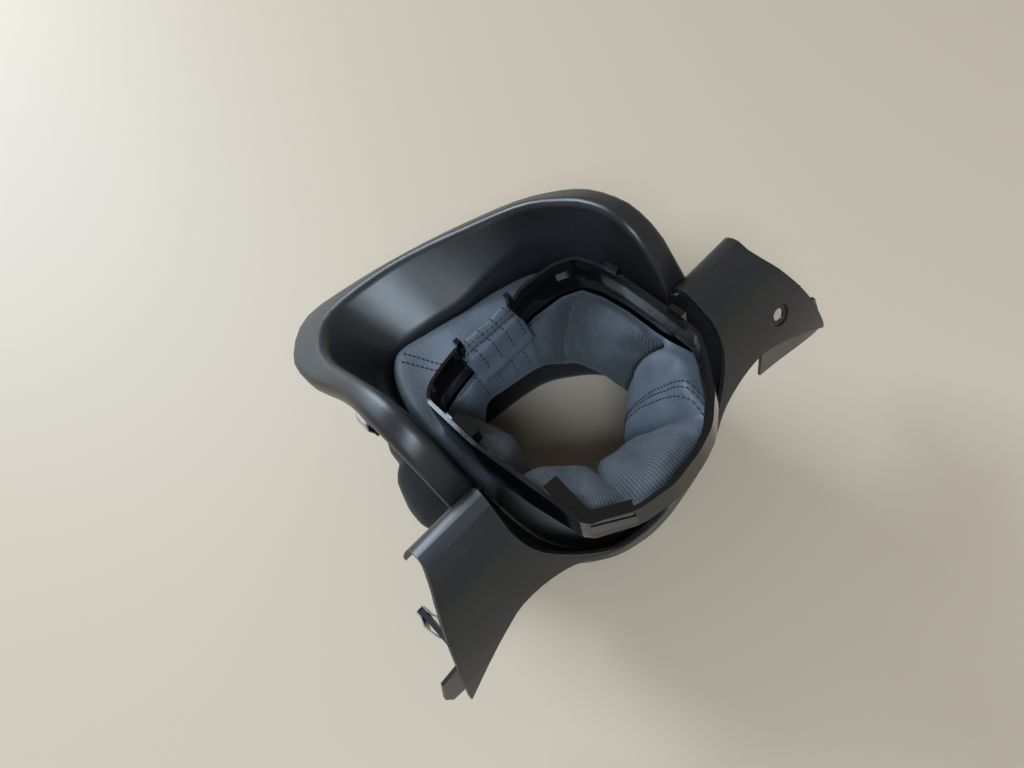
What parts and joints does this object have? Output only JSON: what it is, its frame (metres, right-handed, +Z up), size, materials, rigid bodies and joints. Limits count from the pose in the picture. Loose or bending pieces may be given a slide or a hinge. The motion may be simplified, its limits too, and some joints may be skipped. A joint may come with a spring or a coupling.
{
  "type": "steering column trim",
  "caption": "Moulded car surround for a steering column, a horseshoe hood over a winged lower panel, with a leatherette gaiter in a thin collar and steel spring clips.",
  "frame": {"origin": "middle of the bottom of the bounding box", "axes": "+X across to the right wing, +Y away from the wings towards the top of the hood, +Z up along the steering column passage"},
  "size_m": [0.318, 0.2716, 0.1754],
  "materials": {
    "satin_black": "fine satin grain",
    "gloss_black": "smooth gloss",
    "leatherette": "coated cloth, grained outside and woven inside",
    "spring_steel": "bright spring steel"
  },
  "bodies": {
    "root": {"upper_surround": "satin_black", "lower_panel": "satin_black", "gaiter_collar": "gloss_black", "gaiter": "leatherette", "spring_clip_surround_left": "spring_steel", "spring_clip_surround_right": "spring_steel", "spring_clip_wing_left": "spring_steel", "spring_clip_wing_right": "spring_steel"}
  },
  "joints": []
}
